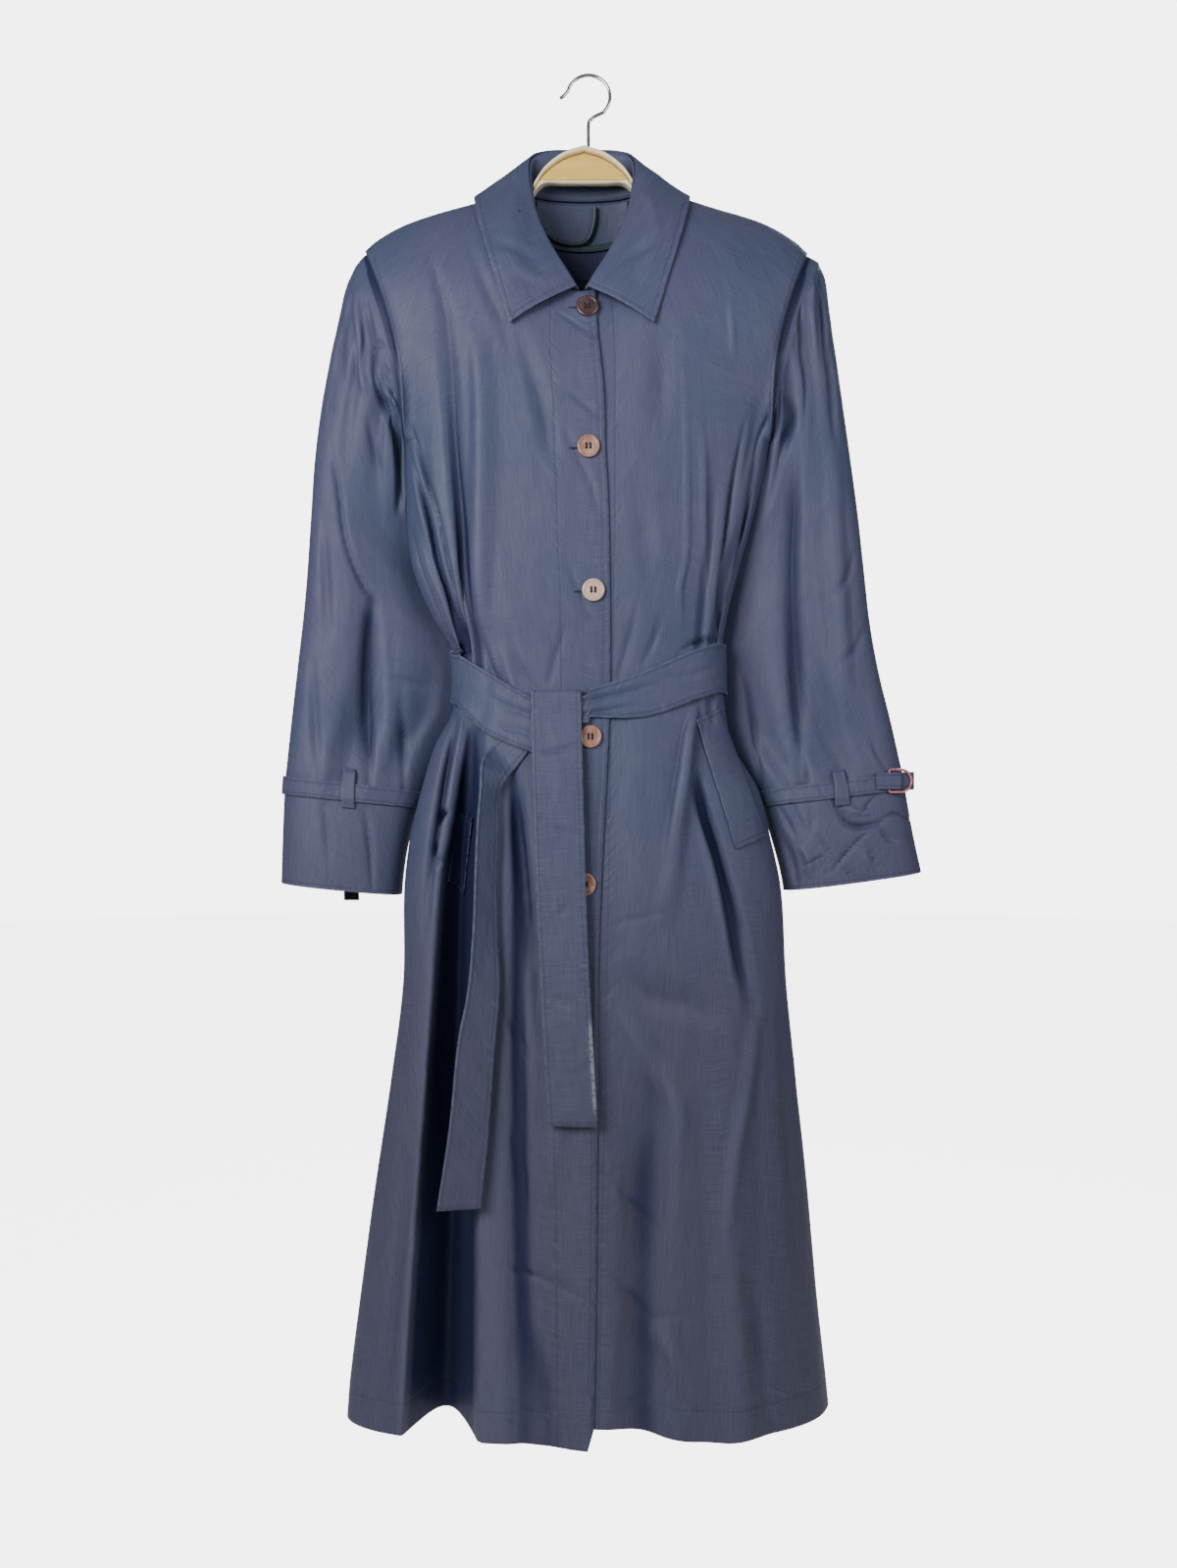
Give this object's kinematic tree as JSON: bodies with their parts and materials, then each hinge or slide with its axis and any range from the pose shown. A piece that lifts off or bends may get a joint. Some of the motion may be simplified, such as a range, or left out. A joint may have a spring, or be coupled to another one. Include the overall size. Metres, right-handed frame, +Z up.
{
  "type": "belted raincoat on a hanger",
  "caption": "Long single-breasted belted raincoat with turned-down collar, gathered sleeve heads, strapped cuffs and tied belt, hanging on a wooden hanger with a wire hook.",
  "frame": {"origin": "inside top of the hanger's hook, where the peg or rail that holds it touches", "axes": "+Z up, -Y the coat's front, +X the wearer's left"},
  "size_m": [0.5957, 0.1438, 1.2402],
  "materials": {
    "shell": "closely woven slate blue-grey shot raincoat cloth with a satin sheen and topstitched edges",
    "lining": "smooth navy lining",
    "binding": "dark teal satin binding and rouleau",
    "tab": "matt black tape",
    "button": "copper rose with a pearly gloss and a raised rim",
    "ring": "glossy copper pink",
    "hanger_wood": "clear-lacquered golden wood",
    "hanger_rim": "pale cream lacquered edge",
    "hook": "bright plated wire"
  },
  "bodies": {
    "root": {"back": "shell", "front_right": "shell", "front_left": "shell", "skirt_back": "shell", "skirt_front_right": "shell", "skirt_front_left": "shell", "sleeve_right": "shell", "sleeve_left": "shell", "collar_stand": "shell", "collar_fall": "shell", "welt_right": "shell", "welt_left": "shell", "cuff_strap_right": "shell", "cuff_strap_left": "shell", "strap_loop_right": "shell", "strap_loop_left": "shell", "belt_waist": "shell", "belt_over": "shell", "belt_under": "shell", "neck_facing": "shell", "facing_binding": "binding", "back_lining": "lining", "hanger_loop": "binding", "button_1": "button", "button_2": "button", "button_3": "button", "button_4": "button", "button_5": "button", "strap_ring_left": "ring", "sleeve_tab_right": "tab", "hanger_body": "hanger_wood", "hanger_rim": "hanger_rim", "hanger_hook": "hook"}
  },
  "joints": []
}
